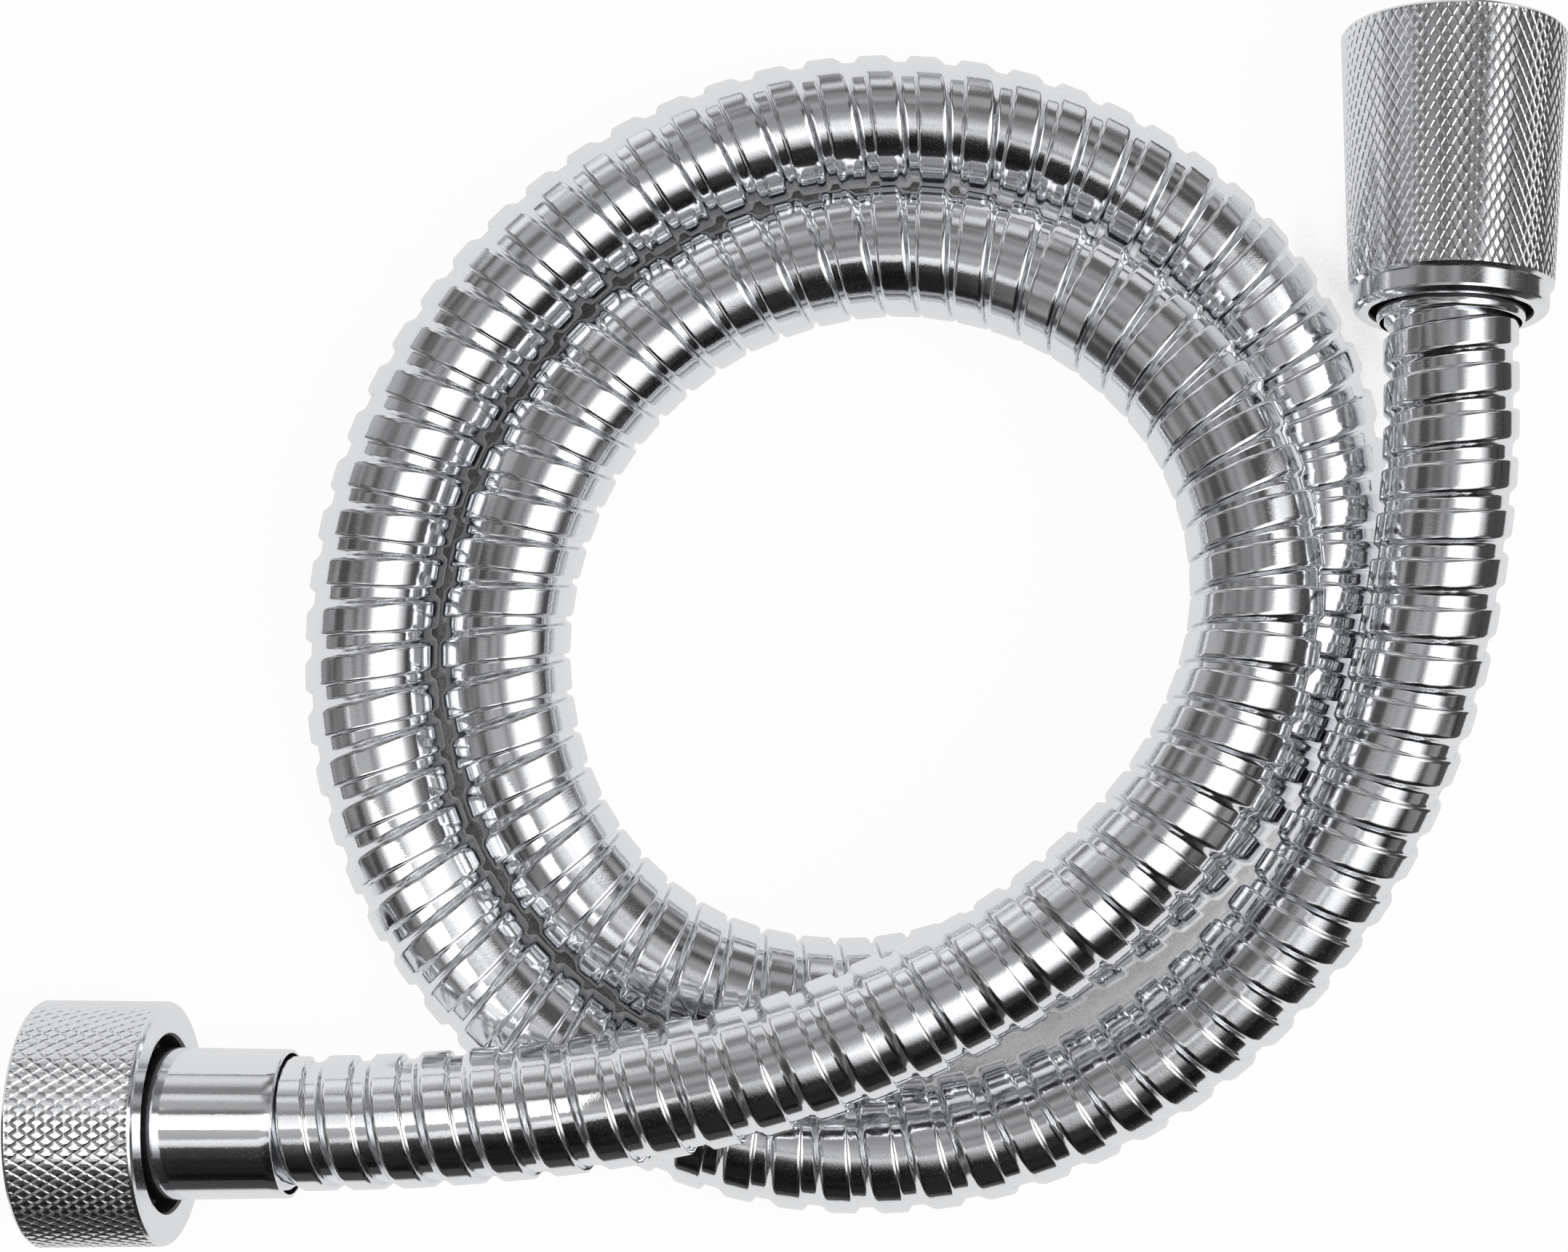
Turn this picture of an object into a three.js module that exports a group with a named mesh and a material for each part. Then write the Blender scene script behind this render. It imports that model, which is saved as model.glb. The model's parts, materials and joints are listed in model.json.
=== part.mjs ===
// A flexible metal hose with a screwed nut at each end, as used between a tap and a hand shower.
//
// The hose lies in its loose packing coil on a flat surface, which is z = 0. It leaves the short
// round nut at the left, climbs over two lower strands, makes two and a quarter turns and ends in
// the tall conical nut at the top right. Millimetres, +Z up. The origin is on the surface, under
// the middle of the fittings.
//
// Each end is a stack along one axis, written as radius and depth, where the depth u runs from the
// nut's mouth towards the hose: nut, washer, nipple and sleeve, then the casing and its liner.

import * as THREE from 'three';

// Hose section
const HOSE_OD = 14;          // over the crests of the wound casing
const CASING_WALL = 1.2;     // strip with its folded edges
const LINER_WALL = 1.0;
const HOSE_SIDES = 12;
const HOSE_STEPS = 150;

// Clearances
const TOUCH = 0.3;           // between pieces that meet
const SLIP = 0.5;            // between the nut's rear bore and the nipple's neck

// Screwed socket, the same in both nuts, for a G 1/2 pipe thread
const SOCKET_R = 9.3;        // over the crests of the inside thread
const SOCKET_DEPTH = 8.8;
const LEAD_IN = 1.1;         // chamfer at the mouth of the thread

// Tap nut: short and round, with a knurled outside
const TAP_NUT_MOUTH_R = 12.9;
const TAP_NUT_REAR_R = 12.7;
const TAP_NUT_LENGTH = 13.8;
const TAP_SHOULDER = 2.0;    // wall that the nipple's flange pulls on
const TAP_RECESS_R = 9.25;   // open recess behind the shoulder
const NUT_EDGE = 0.4;        // small bevel on the nuts' outside edges

// Conical nut: tall and tapered, with a plain collar behind the knurl
const CONE_MOUTH_R = 11.8;
const CONE_KNURL_END_R = 10.6;
const CONE_LENGTH = 30.3;
const COLLAR_R = 10.1;
const COLLAR_LENGTH = 2.9;
const COLLAR_BEVEL = 0.5;

// Nipple: flange, neck and barbed stem, bored through for the water
const FLANGE_T = 2.0;
const NECK_R = 7.9;
const NECK_LENGTH = 3.7;
const BORE_R = 3.5;
const STEM_R = 4.05;
const STEM_LENGTH = 13.5;
const BARB = 0.15;
const BARB_COUNT = 3;
const BARB_PITCH = 3.4;

// Sleeves that hold the hose on the nipples
const SLEEVE_LIP_WALL = 0.4;       // wall at the hose end
const TAP_SLEEVE_LENGTH = 14.4;
const CONE_SLEEVE_LENGTH = 18.8;
const SLEEVE_SWELL = 0.25;         // the tap sleeve is wider near the nut
const SLEEVE_FLOOR = 0.8;          // closed end behind the neck

// Flat washers
const WASHER_T = 2.0;
const WASHER_HOLE_R = 5.2;

// Where the two ends lie: mouth centre in plan, heading and upward tilt of the axis into the hose
const TAP_MOUTH_XY = [-79.4, -51.9];
const TAP_HEADING = 1.1;
const TAP_TILT = 8;
const CONE_MOUTH_XY = [69.4, 62.85];
const CONE_HEADING = 267.5;
const CONE_TILT = 9.5;

// Where the hose leaves each end straight
const TAP_STRAIGHT = 27;
const CONE_STRAIGHT = 30;

// Centre line of the loose coil between the two ends
const ROUTE = [
  [-35.92, -50.37, 19.42], [-16.91, -47.87, 21.7], [3.61, -42.48, 22.56], [23.96, -32.51, 22.39],
  [40.19, -17.1, 21.48], [47.52, 2.13, 19.48], [43.52, 21.27, 16.17], [29.58, 35.33, 12.19],
  [9.89, 40.4, 8.96], [-10.27, 34.73, 7.33], [-25.26, 19.53, 7.01], [-31.22, -1.33, 7.09],
  [-26.33, -21.95, 7.12], [-11.8, -36.09, 7.08], [8.43, -39.76, 7.01], [29.44, -32.41, 7],
  [46.4, -16.85, 7], [55.59, 3.12, 7], [54.51, 23.86, 7], [43.46, 41.42, 7],
  [24.89, 52.26, 7], [3.15, 54.09, 7], [-17.35, 46.98, 7], [-33.56, 32.56, 7],
  [-43.36, 12.78, 7], [-45.23, -9.27, 7], [-38.53, -29.63, 7.01], [-24.2, -45.26, 7.01],
  [-4.47, -54.04, 7.06], [17.12, -54.3, 7.66], [36.89, -45.83, 9.53], [52.79, -30.29, 12.61],
  [63.09, -9.77, 15.84], [67.41, 12.84, 17.55],
];

// Sizes that follow from the ones above
const HOSE_R = HOSE_OD / 2;
const CASING_BORE_R = HOSE_R - CASING_WALL;
const LINER_R = CASING_BORE_R - TOUCH;
const LINER_BORE_R = LINER_R - LINER_WALL;
const NUT_BORE_R = NECK_R + SLIP;
const FLANGE_R = SOCKET_R - 0.2;
const WASHER_R = SOCKET_R - 0.25;
const FLANGE_REAR_U = SOCKET_DEPTH - TOUCH;
const FLANGE_FRONT_U = FLANGE_REAR_U - FLANGE_T;
const WASHER_REAR_U = FLANGE_FRONT_U - TOUCH;
const NECK_REAR_U = FLANGE_REAR_U + NECK_LENGTH;
const SLEEVE_FRONT_U = NECK_REAR_U + TOUCH;
const SLEEVE_BORE_R = HOSE_R + TOUCH;
const HOSE_START_U = SLEEVE_FRONT_U + SLEEVE_FLOOR + TOUCH;
const STEM_HOLE_R = STEM_R + BARB + TOUCH;

const metal = (color, roughness) =>
  new THREE.MeshStandardMaterial({ color, roughness, metalness: 1 });
const looks = {
  nut: metal(0xc9ccd0, 0.18),
  sleeve: metal(0xd2d5d9, 0.08),
  casing: metal(0xd0d3d7, 0.1),
  brass: metal(0xb08d4f, 0.3),
  liner: new THREE.MeshStandardMaterial({ color: 0xdfe3e4, roughness: 0.45, metalness: 0 }),
  rubber: new THREE.MeshStandardMaterial({ color: 0x1c1c1d, roughness: 0.7, metalness: 0 }),
};

// A ring turned from a closed profile of [radius, depth] points
function turned(name, profile, segments, material) {
  const points = profile.map(([r, u]) => new THREE.Vector2(r, u));
  points.push(points[0].clone());
  const geometry = new THREE.LatheGeometry(points, segments);
  const mesh = new THREE.Mesh(geometry, material);
  mesh.name = name;
  return mesh;
}

// The profile points go round the section with the metal on the left hand
const tapNut = turned('tap_nut', [
  [SOCKET_R + LEAD_IN, 0],
  [TAP_NUT_MOUTH_R - NUT_EDGE, 0],
  [TAP_NUT_MOUTH_R, NUT_EDGE],
  [TAP_NUT_REAR_R, TAP_NUT_LENGTH - NUT_EDGE],
  [TAP_NUT_REAR_R - NUT_EDGE, TAP_NUT_LENGTH],
  [TAP_RECESS_R + NUT_EDGE, TAP_NUT_LENGTH],
  [TAP_RECESS_R, TAP_NUT_LENGTH - NUT_EDGE],
  [TAP_RECESS_R, SOCKET_DEPTH + TAP_SHOULDER],
  [NUT_BORE_R, SOCKET_DEPTH + TAP_SHOULDER],
  [NUT_BORE_R, SOCKET_DEPTH],
  [SOCKET_R, SOCKET_DEPTH],
  [SOCKET_R, LEAD_IN],
], 64, looks.nut);

const coneNut = turned('cone_nut', [
  [SOCKET_R + LEAD_IN, 0],
  [CONE_MOUTH_R - NUT_EDGE, 0],
  [CONE_MOUTH_R, NUT_EDGE],
  [CONE_KNURL_END_R, CONE_LENGTH - COLLAR_LENGTH],
  [COLLAR_R, CONE_LENGTH - COLLAR_LENGTH + NUT_EDGE],
  [COLLAR_R, CONE_LENGTH - COLLAR_BEVEL],
  [COLLAR_R - COLLAR_BEVEL, CONE_LENGTH],
  [NUT_BORE_R, CONE_LENGTH],
  [NUT_BORE_R, SOCKET_DEPTH],
  [SOCKET_R, SOCKET_DEPTH],
  [SOCKET_R, LEAD_IN],
], 64, looks.nut);

function nipple(name) {
  const profile = [
    [BORE_R, FLANGE_FRONT_U],
    [FLANGE_R, FLANGE_FRONT_U],
    [FLANGE_R, FLANGE_REAR_U],
    [NECK_R, FLANGE_REAR_U],
    [NECK_R, NECK_REAR_U],
    [STEM_R, NECK_REAR_U],
  ];
  const end = NECK_REAR_U + STEM_LENGTH;
  for (let i = BARB_COUNT; i >= 1; i--) {
    const top = end - (i - 1) * BARB_PITCH - 1.2;
    profile.push([STEM_R, top - 0.2], [STEM_R + BARB, top]);
    if (i > 1) profile.push([STEM_R, top + 1.2]);
  }
  profile.push([STEM_R - BARB, end], [BORE_R, end]);
  return turned(name, profile, 40, looks.brass);
}

function washer(name) {
  return turned(name, [
    [WASHER_HOLE_R, WASHER_REAR_U - WASHER_T],
    [WASHER_R, WASHER_REAR_U - WASHER_T],
    [WASHER_R, WASHER_REAR_U],
    [WASHER_HOLE_R, WASHER_REAR_U],
  ], 40, looks.rubber);
}

// A thin cup with its floor behind the nipple's neck and its open lip round the hose
function sleeve(name, length, swell) {
  const lip = SLEEVE_FRONT_U + length;
  const r = SLEEVE_BORE_R + SLEEVE_LIP_WALL;
  return turned(name, [
    [STEM_HOLE_R, SLEEVE_FRONT_U],
    [r + swell - 0.5, SLEEVE_FRONT_U],
    [r + swell, SLEEVE_FRONT_U + 0.5],
    [r, lip - 0.3],
    [r - 0.2, lip],
    [SLEEVE_BORE_R, lip],
    [SLEEVE_BORE_R, SLEEVE_FRONT_U + SLEEVE_FLOOR],
    [STEM_HOLE_R, SLEEVE_FRONT_U + SLEEVE_FLOOR],
  ], 48, looks.sleeve);
}

// An end's group stands on its axis: its own +Y points from the mouth into the hose
function endGroup(mouthXY, heading, tilt, mouthR, pieces) {
  const h = THREE.MathUtils.degToRad(heading);
  const t = THREE.MathUtils.degToRad(tilt);
  const axis = new THREE.Vector3(Math.cos(t) * Math.cos(h), Math.cos(t) * Math.sin(h), Math.sin(t));
  const end = new THREE.Group();
  // the lower edge of the mouth rests on the surface
  end.position.set(mouthXY[0], mouthXY[1],
    (mouthR - NUT_EDGE) * Math.cos(t) + Math.max(0, NUT_EDGE * (Math.cos(t) - Math.sin(t))));
  end.quaternion.setFromUnitVectors(new THREE.Vector3(0, 1, 0), axis);
  end.add(...pieces);
  end.userData.at = (u) => end.position.clone().addScaledVector(axis, u);
  return end;
}

const tapEnd = endGroup(TAP_MOUTH_XY, TAP_HEADING, TAP_TILT, TAP_NUT_MOUTH_R, [
  tapNut, washer('tap_washer'), nipple('tap_nipple'),
  sleeve('tap_sleeve', TAP_SLEEVE_LENGTH, SLEEVE_SWELL),
]);
const coneEnd = endGroup(CONE_MOUTH_XY, CONE_HEADING, CONE_TILT, CONE_MOUTH_R, [
  coneNut, washer('cone_washer'), nipple('cone_nipple'),
  sleeve('cone_sleeve', CONE_SLEEVE_LENGTH, 0),
]);

// The hose: two plain tubes on one smooth curve
const path = new THREE.CatmullRomCurve3([
  tapEnd.userData.at(HOSE_START_U), tapEnd.userData.at(TAP_STRAIGHT),
  ...ROUTE.map((p) => new THREE.Vector3(...p)),
  coneEnd.userData.at(CONE_STRAIGHT), coneEnd.userData.at(HOSE_START_U),
], false, 'catmullrom', 0.5);
path.arcLengthDivisions = 1200;

function ringShape(outer, inner) {
  const corner = (r, i) => {
    const a = (2 * Math.PI * i) / HOSE_SIDES;
    return new THREE.Vector2(r * Math.cos(a), r * Math.sin(a));
  };
  const round = (r) => Array.from({ length: HOSE_SIDES }, (_, i) => corner(r, i));
  const shape = new THREE.Shape(round(outer));
  shape.holes.push(new THREE.Path(round(inner).reverse()));
  return shape;
}

function hoseTube(name, outer, inner, material) {
  const geometry = new THREE.ExtrudeGeometry(ringShape(outer, inner), {
    steps: HOSE_STEPS, extrudePath: path, bevelEnabled: false, curveSegments: 1,
  });
  const mesh = new THREE.Mesh(geometry, material);
  mesh.name = name;
  return mesh;
}

const group = new THREE.Group();
group.add(
  tapEnd, coneEnd,
  hoseTube('hose_casing', HOSE_R, CASING_BORE_R, looks.casing),
  hoseTube('inner_tube', LINER_R, LINER_BORE_R, looks.liner),
);

export default group;
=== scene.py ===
# %% [markdown]
# # A chromed shower hose, lying in a loose coil
#
# The object is a flexible metal hose with a short round nut for the tap at one end and a tall
# conical nut for the hand shower at the other. It lies on a pale surface and is seen from
# straight above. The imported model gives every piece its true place. This script adds what a
# plain solid can't show: the wound strip of the casing, the knurling, the threads inside the
# nuts and the finishes.

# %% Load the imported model
import bmesh
import bpy
import json
import math
from mathutils import Matrix, Vector


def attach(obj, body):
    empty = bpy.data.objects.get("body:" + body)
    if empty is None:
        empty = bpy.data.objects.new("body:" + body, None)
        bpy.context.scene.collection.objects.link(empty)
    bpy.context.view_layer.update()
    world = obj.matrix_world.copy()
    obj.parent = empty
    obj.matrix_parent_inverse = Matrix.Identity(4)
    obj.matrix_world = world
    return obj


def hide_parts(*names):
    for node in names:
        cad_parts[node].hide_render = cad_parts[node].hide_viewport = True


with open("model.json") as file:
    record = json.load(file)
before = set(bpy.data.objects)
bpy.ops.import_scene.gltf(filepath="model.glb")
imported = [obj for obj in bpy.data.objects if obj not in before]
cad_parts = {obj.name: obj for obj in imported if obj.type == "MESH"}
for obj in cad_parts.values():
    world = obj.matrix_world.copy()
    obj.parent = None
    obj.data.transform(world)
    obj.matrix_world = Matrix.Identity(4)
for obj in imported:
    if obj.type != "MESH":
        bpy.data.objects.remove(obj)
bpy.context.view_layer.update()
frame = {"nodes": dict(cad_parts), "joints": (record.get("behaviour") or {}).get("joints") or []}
nodes = frame["nodes"]
joints = {joint["name"]: joint for joint in frame["joints"]}
scene = bpy.context.scene
scene.view_settings.view_transform = "Standard"
MM = 0.001
print("nodes:", sorted(nodes))

# %% [markdown]
# ## Camera
#
# The picture was taken from straight above, from about 0.38 m, close enough for the upper
# strands to look a little wider than the lower ones. The frame is 171 mm wide on the surface.

# %% Camera
CAMERA_HEIGHT = 0.380
PHOTO_WIDTH_PX = 2156
MM_PER_PX = 0.07926
FRAME_WIDTH = PHOTO_WIDTH_PX * MM_PER_PX * MM
FRAME_MIDDLE = (-1.4 * MM, 0.5 * MM)
SENSOR = 36
camera_data = bpy.data.cameras.new("Camera")
camera_data.sensor_width = SENSOR
camera_data.lens = SENSOR * CAMERA_HEIGHT / FRAME_WIDTH
camera_data.clip_start = 0.01
camera_data.clip_end = 20
camera = bpy.data.objects.new("Camera", camera_data)
camera.location = (*FRAME_MIDDLE, CAMERA_HEIGHT)
scene.collection.objects.link(camera)
scene.camera = camera
print("lens", round(camera_data.lens, 1), "mm")

# %% [markdown]
# ## The route of the hose
#
# The hose is stiff enough to keep the curl of its packing. The two ends follow from the
# fittings' own axes, and the points between them are the same as the model's. The curve
# passes through each point, heading the way from the point before to the point after, so it
# is smooth everywhere.

# %% Axes of the two ends
def end_axis(joint_name):
    """The middle of a nut's mouth in millimetres, and the direction into the hose."""
    joint = joints[joint_name]
    return Vector(joint["pos_m"]) / MM, Vector(joint["axis"]).normalized()


TAP_MOUTH, TAP_AXIS = end_axis("tap_nut_turn")
CONE_MOUTH, CONE_AXIS = end_axis("cone_nut_turn")

# %% Points of the route, in millimetres
# Depths behind each mouth: where the hose starts, and how far it keeps to the fitting's axis
HOSE_START = 13.6
TAP_STRAIGHT = 27
CONE_STRAIGHT = 30
ROUTE = [TAP_MOUTH + TAP_AXIS * HOSE_START, TAP_MOUTH + TAP_AXIS * TAP_STRAIGHT]
ROUTE += [Vector(p) for p in (
    (-35.92, -50.37, 19.42), (-16.91, -47.87, 21.7), (3.61, -42.48, 22.56), (23.96, -32.51, 22.39),
    (40.19, -17.1, 21.48), (47.52, 2.13, 19.48), (43.52, 21.27, 16.17), (29.58, 35.33, 12.19),
    (9.89, 40.4, 8.96), (-10.27, 34.73, 7.33), (-25.26, 19.53, 7.01), (-31.22, -1.33, 7.09),
    (-26.33, -21.95, 7.12), (-11.8, -36.09, 7.08), (8.43, -39.76, 7.01), (29.44, -32.41, 7),
    (46.4, -16.85, 7), (55.59, 3.12, 7), (54.51, 23.86, 7), (43.46, 41.42, 7),
    (24.89, 52.26, 7), (3.15, 54.09, 7), (-17.35, 46.98, 7), (-33.56, 32.56, 7),
    (-43.36, 12.78, 7), (-45.23, -9.27, 7), (-38.53, -29.63, 7.01), (-24.2, -45.26, 7.01),
    (-4.47, -54.04, 7.06), (17.12, -54.3, 7.66), (36.89, -45.83, 9.53), (52.79, -30.29, 12.61),
    (63.09, -9.77, 15.84), (67.41, 12.84, 17.55),
)]
ROUTE += [CONE_MOUTH + CONE_AXIS * CONE_STRAIGHT, CONE_MOUTH + CONE_AXIS * HOSE_START]
STATIONS_PER_SPAN = 24


def smooth_curve(points, per_span):
    """A cubic curve through the points, with equal steps in each span."""
    line = []
    for i in range(len(points) - 1):
        p1, p2 = points[i], points[i + 1]
        p0 = points[i - 1] if i else 2 * p1 - p2
        p3 = points[i + 2] if i + 2 < len(points) else 2 * p2 - p1
        for k in range(per_span):
            t = k / per_span
            line.append(0.5 * (2 * p1 + (p2 - p0) * t + (2 * p0 - 5 * p1 + 4 * p2 - p3) * t * t
                               + (3 * p1 - p0 - 3 * p2 + p3) * t ** 3))
    return line + [points[-1]]


# %% A ruler along the curve
# Each station holds the distance from the start, the point, the direction, a side vector that
# never twists, and how strongly the curve bends there, taken over a few stations each way.
BEND_REACH = 4


class Ruler:
    """Tells what the curve does at any distance from its start."""
    def __init__(self, line):
        self.points = line
        self.at = [0.0]
        for a, b in zip(line, line[1:]):
            self.at.append(self.at[-1] + (b - a).length)
        self.length = self.at[-1]
        n = len(line)
        self.ahead = []
        for i in range(n):
            self.ahead.append((line[min(i + 1, n - 1)] - line[max(i - 1, 0)]).normalized())
        self.bend = []
        for i in range(n):
            a, b = max(i - BEND_REACH, 0), min(i + BEND_REACH, n - 1)
            self.bend.append((self.ahead[b] - self.ahead[a]) / (self.at[b] - self.at[a]))
        side = self.ahead[0].cross(Vector((0, 0, 1))).normalized()
        self.side = []
        for t in self.ahead:
            side = (side - t * side.dot(t)).normalized()
            self.side.append(side)

    def place(self, s):
        """Index and share of the station that holds the distance s."""
        s = min(max(s, 0.0), self.length)
        low, high = 0, len(self.at) - 1
        while high - low > 1:
            mid = (low + high) // 2
            if self.at[mid] <= s:
                low = mid
            else:
                high = mid
        return low, (s - self.at[low]) / (self.at[high] - self.at[low])

    def read(self, values, s):
        """The value at the distance s, between those of the two stations beside it."""
        i, t = self.place(s)
        return values[i].lerp(values[i + 1], t)


hose = Ruler(smooth_curve(ROUTE, STATIONS_PER_SPAN))
print("hose", round(hose.length, 1), "mm between its two nipples")

# %% [markdown]
# ## Making turned pieces
#
# Nuts, nipples, sleeves and washers are all turned on a lathe, so one helper spins a profile
# round the axis. A profile is a closed chain of radius and depth, counted from the nut's
# mouth into the hose. One sector is spun, then copied round, which is much quicker than one
# long spin, and the copies are merged into a closed body.

# %% Turned pieces
TO_METRES = Matrix.Diagonal((MM, MM, MM, 1))
ROUND_STEPS = 144
STEPS_AT_ONCE = 16
MERGE = 1e-4
CREASE = 32


def axis_frame(mouth, axis):
    """Puts local Z on the fitting's axis, with its origin in the mouth."""
    turn = axis.to_track_quat("Z", "Y").to_matrix().to_4x4()
    return TO_METRES @ Matrix.Translation(mouth) @ turn


TAP_FRAME = axis_frame(TAP_MOUTH, TAP_AXIS)
CONE_FRAME = axis_frame(CONE_MOUTH, CONE_AXIS)


def chain(bm, profile):
    """The closed profile as vertices and edges."""
    verts = [bm.verts.new((r, 0, u)) for r, u in profile]
    edges = [bm.edges.new((a, b)) for a, b in zip(verts, verts[1:] + verts[:1])]
    return verts + edges


def finish_mesh(bm, name, place, crease=CREASE):
    """Shades everything smooth except edges sharper than the crease, and makes the object."""
    bmesh.ops.transform(bm, matrix=place, verts=bm.verts)
    bmesh.ops.recalc_face_normals(bm, faces=bm.faces)
    for face in bm.faces:
        face.smooth = True
    limit = math.radians(crease)
    for edge in bm.edges:
        edge.smooth = len(edge.link_faces) != 2 or edge.calc_face_angle(0) < limit
    mesh = bpy.data.meshes.new(name)
    bm.to_mesh(mesh)
    bm.free()
    piece = bpy.data.objects.new(name, mesh)
    scene.collection.objects.link(piece)
    return piece


def turned(name, profile, place, steps=ROUND_STEPS, shape=None, crease=CREASE, after=None):
    """Spins a profile. Shape may change the radius of a point, after may work on the mesh."""
    bm = bmesh.new()
    sectors = 2
    while steps % (sectors * 2) == 0 and steps // sectors > STEPS_AT_ONCE:
        sectors *= 2
    sector = 2 * math.pi / sectors
    bmesh.ops.spin(bm, geom=chain(bm, profile), cent=(0, 0, 0), axis=(0, 0, 1),
                   angle=sector, steps=steps // sectors)
    bmesh.ops.spin(bm, geom=bm.verts[:] + bm.edges[:] + bm.faces[:], cent=(0, 0, 0),
                   axis=(0, 0, 1), angle=2 * math.pi - sector, steps=sectors - 1,
                   use_duplicate=True)
    bmesh.ops.remove_doubles(bm, verts=bm.verts, dist=MERGE)
    if shape:
        for v in bm.verts:
            r = math.hypot(v.co.x, v.co.y)
            new_r = shape(r, math.atan2(v.co.y, v.co.x), v.co.z)
            v.co.x *= new_r / r
            v.co.y *= new_r / r
    if after:
        after(bm)
    piece = finish_mesh(bm, name, place, crease)
    print(name, len(piece.data.polygons), "faces")
    return piece


def steps_between(a, b, count):
    """Points after a, up to and including b, in equal steps."""
    return [tuple(p + (q - p) * i / count for p, q in zip(a, b)) for i in range(1, count + 1)]


# %% [markdown]
# ## Knurl and thread
#
# The outside of both nuts is rolled with a diamond knurl: two sets of shallow grooves that
# cross each other and leave flat-topped diamonds, longer along the nut than round it. As
# true geometry it catches the light on its flanks, which a painted pattern wouldn't. Its
# grid has eight cells to a groove, so that each groove runs through the cells' corners.
# The inside thread is made the same way, as a groove that winds round the socket.

# %% Knurl and thread shapes
KNURL_COUNT = 64
KNURL_PITCH = 1.95
KNURL_DEPTH = 0.11
KNURL_CELLS = 8
KNURL_STEPS = KNURL_COUNT * KNURL_CELLS
ROW = KNURL_PITCH / KNURL_CELLS
KNURL_START = 0.4
SOCKET_R = 9.3
SOCKET_DEPTH = 8.8
LEAD_IN = 1.1
THREAD_PITCH = 1.814
THREAD_DEPTH = 0.95
THREAD_FLANK = 2.4
THREAD_START, THREAD_END = 0.4, SOCKET_DEPTH - 0.5
FADE_IN, FADE_OUT = 1.4, 0.9
# Kept clear of every limit, so that a point that lies on a limit falls on the right side
HAIR = 0.01


def groove(phase):
    """1 at the bottom of a groove, 0 on the flat between two."""
    off = abs(phase - round(phase))
    return max(0.0, 1 - off * KNURL_CELLS)


def knurl(angle, u):
    """Depth of the knurl at an angle and a depth behind the mouth."""
    round_ = angle / (2 * math.pi) * KNURL_COUNT
    along = u / KNURL_PITCH
    return KNURL_DEPTH * max(groove(round_ + along), groove(round_ - along))


def thread(angle, u):
    """Depth of the thread's groove, which fades in behind the mouth and out at the floor."""
    fade_in = max(0.0, (u - THREAD_START) / FADE_IN)
    fade_out = max(0.0, (THREAD_END - u) / FADE_OUT)
    phase = u / THREAD_PITCH - angle / (2 * math.pi)
    flank = min(1.0, THREAD_FLANK * abs(phase - round(phase)))
    return THREAD_DEPTH * min(1.0, fade_in, fade_out) * flank


def nut_shape(knurl_low, knurl_high, inside):
    """Cuts the thread inside the given radius and the knurl outside it."""
    def shape(r, angle, u):
        if SOCKET_R - HAIR < r < inside and LEAD_IN - HAIR < u < SOCKET_DEPTH - HAIR:
            return r + thread(angle, u)
        if r > inside and knurl_low < u < knurl_high:
            return r - knurl(angle, u)
        return r
    return shape


# %% Fold the knurl along its grooves
def fold_grooves(low, high, inside):
    """Splits each cell of the knurl along the diagonal that lies nearer to the true surface."""
    def fold(bm):
        bm.verts.ensure_lookup_table()
        for face in list(bm.faces):
            corners = face.verts[:]
            if len(corners) != 4:
                continue
            middle = face.calc_center_median()
            if math.hypot(middle.x, middle.y) < inside or not low < middle.z < high:
                continue
            deep = []
            for v in corners:
                deep.append(knurl(math.atan2(v.co.y, v.co.x), v.co.z))
            if max(deep) == 0.0:
                continue
            true = knurl(math.atan2(middle.y, middle.x), middle.z)
            first = abs((deep[0] + deep[2]) / 2 - true)
            second = abs((deep[1] + deep[3]) / 2 - true)
            pair = (corners[0], corners[2]) if first <= second else (corners[1], corners[3])
            bmesh.utils.face_split(face, *pair)
    return fold


# %% [markdown]
# ## The two nuts
#
# The tap nut is a short cylinder with the knurl over its whole outside. Behind it, an open
# recess shows a dark gap round the sleeve. The conical nut is tall and tapers towards the
# hose, where its knurl stops at a plain polished collar.

# %% What both nuts share
# The bore lets the sleeve or the neck through, and its shoulder holds back the nipple's flange
BORE_R = 8.4
SHOULDER = SOCKET_DEPTH + 0.2
NUT_CREASE = 16
THREAD_ROWS = 30
socket_wall = [(SOCKET_R, SOCKET_DEPTH)]
socket_wall += steps_between(socket_wall[0], (SOCKET_R, LEAD_IN), THREAD_ROWS)


def mouth_edge(r):
    """The mouth's flat rim and its rounded outer edge, up to where the knurl starts."""
    return [(SOCKET_R + LEAD_IN, 0), (r - 0.55, 0), (r - 0.18, 0.12), (r, KNURL_START)]


# %% Tap nut
TAP_LENGTH = 13.8
TAP_KNURL_END = TAP_LENGTH - 0.4
TAP_R, TAP_BACK_R = 12.9, 12.72
TAP_SHELL_R = 11.5
RECESS_R, RECESS_FLOOR = 9.25, 10.8
tap_rows = int((TAP_KNURL_END - KNURL_START) / ROW)
tap_last = KNURL_START + tap_rows * ROW
tap_profile = mouth_edge(TAP_R)
tap_profile += steps_between(tap_profile[-1], (TAP_BACK_R, tap_last), tap_rows)
tap_profile += [(TAP_BACK_R - 0.02, TAP_LENGTH - 0.38), (TAP_BACK_R - 0.12, TAP_LENGTH - 0.18),
                (TAP_BACK_R - 0.42, TAP_LENGTH), (RECESS_R + 0.5, TAP_LENGTH),
                (RECESS_R + 0.2, TAP_LENGTH - 0.1), (RECESS_R, TAP_LENGTH - 0.4),
                (RECESS_R, RECESS_FLOOR + 0.2), (RECESS_R - 0.15, RECESS_FLOOR),
                (BORE_R + 0.2, RECESS_FLOOR), (BORE_R, RECESS_FLOOR - 0.2), (BORE_R, SHOULDER)]
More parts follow.
